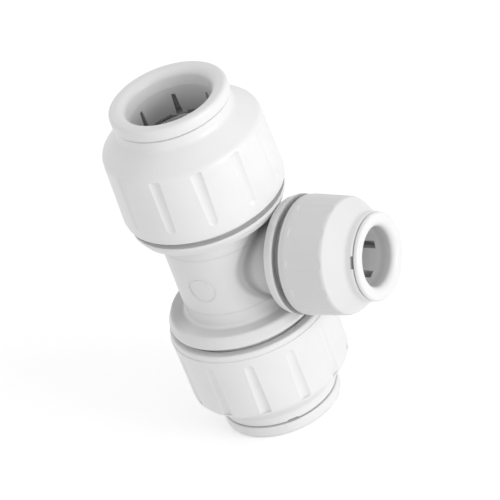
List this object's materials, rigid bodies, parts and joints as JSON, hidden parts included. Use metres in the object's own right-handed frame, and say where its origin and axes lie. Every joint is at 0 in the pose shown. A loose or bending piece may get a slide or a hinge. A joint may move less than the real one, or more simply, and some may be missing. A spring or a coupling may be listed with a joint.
{
  "type": "reducing tee",
  "caption": "White plastic push-fit reducing tee with a smaller branch, a screw cap and a release collet on each port.",
  "frame": {"origin": "centre of the flat front face of the lower run collet, on the run axis, where the tee stands", "axes": "+Z along the run, from the lower port to the upper port; +X out of the smaller branch port"},
  "size_m": [0.0679, 0.0434, 0.0989],
  "materials": {
    "body_plastic": "satin moulded",
    "cap_plastic": "satin moulded",
    "collet_plastic": "satin moulded",
    "washer_plastic": "matt moulded",
    "seal_rubber": "matt",
    "stainless_steel": "rolled"
  },
  "bodies": {
    "tee": {"tee_body": "body_plastic", "run_upper_o_ring": "seal_rubber", "run_lower_o_ring": "seal_rubber", "branch_o_ring": "seal_rubber"},
    "run_upper_washer": {"run_upper_spacer_washer": "washer_plastic"},
    "run_upper_cap": {"run_upper_screw_cap": "cap_plastic"},
    "run_upper_collet": {"run_upper_collet": "collet_plastic", "run_upper_grip_teeth": "stainless_steel"},
    "run_lower_washer": {"run_lower_spacer_washer": "washer_plastic"},
    "run_lower_cap": {"run_lower_screw_cap": "cap_plastic"},
    "run_lower_collet": {"run_lower_collet": "collet_plastic", "run_lower_grip_teeth": "stainless_steel"},
    "branch_washer": {"branch_spacer_washer": "washer_plastic"},
    "branch_cap": {"branch_screw_cap": "cap_plastic"},
    "branch_collet": {"branch_collet": "collet_plastic", "branch_grip_teeth": "stainless_steel"}
  },
  "joints": [
    {"name": "run_upper_feed", "type": "slide", "parent": "tee", "child": "run_upper_washer", "axis": [0, 0, -1], "range_m": [0, 0.00125]},
    {"name": "run_upper_turn", "type": "hinge", "parent": "run_upper_washer", "child": "run_upper_cap", "pos_m": [0, 0, 0.07945], "axis": [0, 0, -1], "range_deg": [0, 90]},
    {"name": "run_upper_release", "type": "slide", "parent": "run_upper_cap", "child": "run_upper_collet", "axis": [0, 0, 1], "range_m": [0, 0.002]},
    {"name": "run_lower_feed", "type": "slide", "parent": "tee", "child": "run_lower_washer", "axis": [0, 0, 1], "range_m": [0, 0.00125]},
    {"name": "run_lower_turn", "type": "hinge", "parent": "run_lower_washer", "child": "run_lower_cap", "pos_m": [0, 0, 0.01945], "axis": [0, 0, 1], "range_deg": [0, 90]},
    {"name": "run_lower_release", "type": "slide", "parent": "run_lower_cap", "child": "run_lower_collet", "axis": [0, 0, -1], "range_m": [0, 0.002]},
    {"name": "branch_feed", "type": "slide", "parent": "tee", "child": "branch_washer", "axis": [-1, 0, 0], "range_m": [0, 0.00125]},
    {"name": "branch_turn", "type": "hinge", "parent": "branch_washer", "child": "branch_cap", "pos_m": [0.03, 0, 0.04945], "axis": [-1, 0, 0], "range_deg": [0, 90]},
    {"name": "branch_release", "type": "slide", "parent": "branch_cap", "child": "branch_collet", "axis": [1, 0, 0], "range_m": [0, 0.0016]}
  ],
  "couplings": [
    {"joint": "run_upper_feed", "follows": "run_upper_turn", "m_per_rad": 0.000795},
    {"joint": "run_lower_feed", "follows": "run_lower_turn", "m_per_rad": 0.000795},
    {"joint": "branch_feed", "follows": "branch_turn", "m_per_rad": 0.000795}
  ]
}
